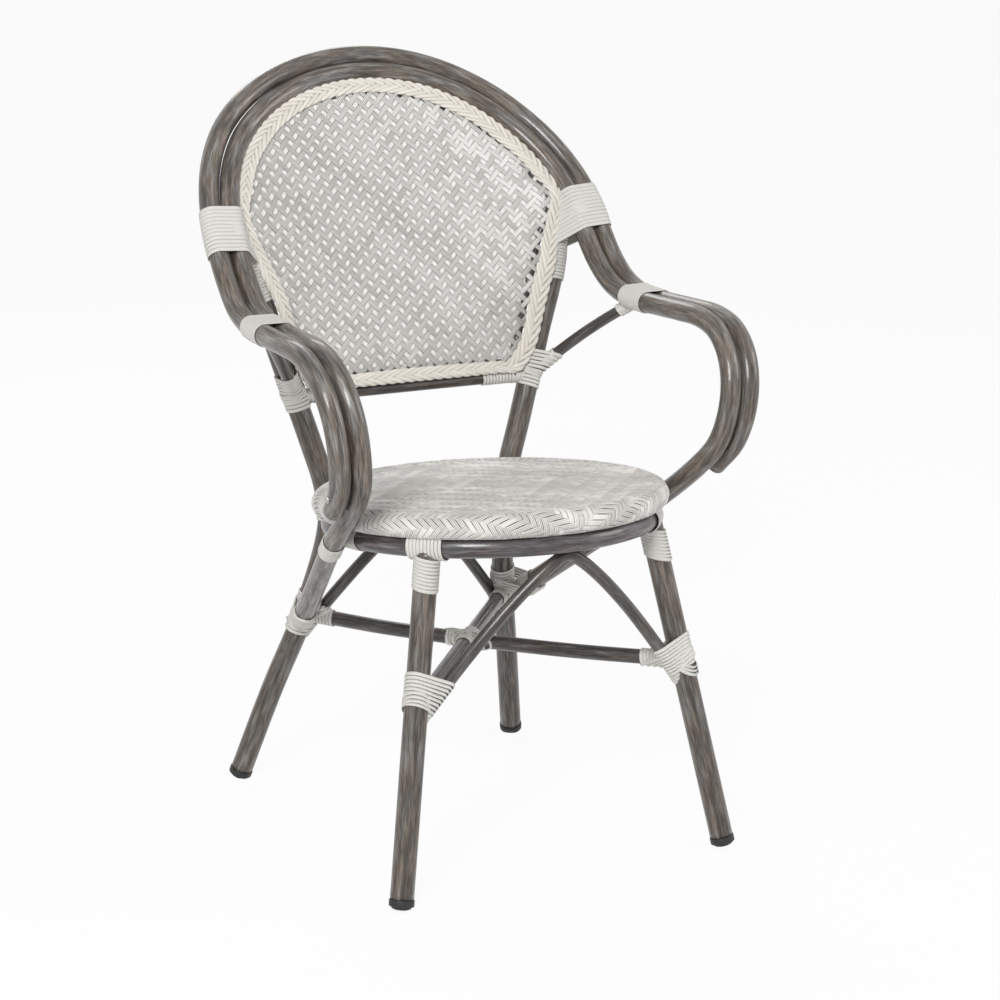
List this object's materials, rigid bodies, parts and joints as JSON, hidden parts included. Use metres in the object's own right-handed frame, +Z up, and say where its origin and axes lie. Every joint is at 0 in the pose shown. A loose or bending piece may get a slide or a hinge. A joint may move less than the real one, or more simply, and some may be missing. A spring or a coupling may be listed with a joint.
{
  "type": "rattan bistro chair",
  "caption": "Stacking-style bistro armchair of round painted tube with strand bindings, a woven back panel in a hoop and a round woven seat.",
  "frame": {"origin": "centre of the chair's outer box, on the floor", "axes": "+Z up, the chair faces -Y, +X to the left of the person who sits"},
  "size_m": [0.587, 0.5913, 0.9257],
  "materials": {
    "tube_paint": "brushed grey-brown paint with streaks along the tube, semi-gloss",
    "binding_strand": "round-edged off-white plastic strand",
    "braid_strand": "flat cream plastic strand, plaited",
    "back_weave": "pale grey and white plastic strand, woven on the diagonal",
    "seat_weave": "pale grey-white plastic strand in twill bands",
    "foot_plastic": "moulded black plastic",
    "rivet_metal": "bare domed rivet head"
  },
  "bodies": {
    "root": {"outer_hoop": "tube_paint", "inner_hoop": "tube_paint", "seat_ring": "tube_paint", "back_rail": "tube_paint", "front_arch": "tube_paint", "rear_arch": "tube_paint", "cross_bar_through": "tube_paint", "cross_bar_front_half": "tube_paint", "cross_bar_rear_half": "tube_paint", "rear_leg_left": "tube_paint", "front_leg_left": "tube_paint", "side_brace_left": "tube_paint", "hoop_plug_left": "tube_paint", "foot_cap_front_left": "foot_plastic", "foot_cap_rear_left": "foot_plastic", "hoop_rivet_left": "rivet_metal", "back_binding_left": "binding_strand", "upright_sleeve_left": "binding_strand", "front_top_binding_left": "binding_strand", "arm_binding_left": "binding_strand", "corner_binding_left": "binding_strand", "rail_binding_left": "binding_strand", "ring_wrap_left": "binding_strand", "arm_ring_binding_left": "binding_strand", "upright_ring_binding_left": "binding_strand", "front_low_binding_left": "binding_strand", "rear_low_binding_left": "binding_strand", "rear_leg_right": "tube_paint", "front_leg_right": "tube_paint", "side_brace_right": "tube_paint", "hoop_plug_right": "tube_paint", "foot_cap_front_right": "foot_plastic", "foot_cap_rear_right": "foot_plastic", "hoop_rivet_right": "rivet_metal", "back_binding_right": "binding_strand", "upright_sleeve_right": "binding_strand", "front_top_binding_right": "binding_strand", "arm_binding_right": "binding_strand", "corner_binding_right": "binding_strand", "rail_binding_right": "binding_strand", "ring_wrap_right": "binding_strand", "arm_ring_binding_right": "binding_strand", "upright_ring_binding_right": "binding_strand", "front_low_binding_right": "binding_strand", "rear_low_binding_right": "binding_strand", "centre_binding": "binding_strand", "back_panel": "back_weave", "back_braid": "braid_strand", "seat_panel": "seat_weave", "seat_rim": "seat_weave"}
  },
  "joints": []
}
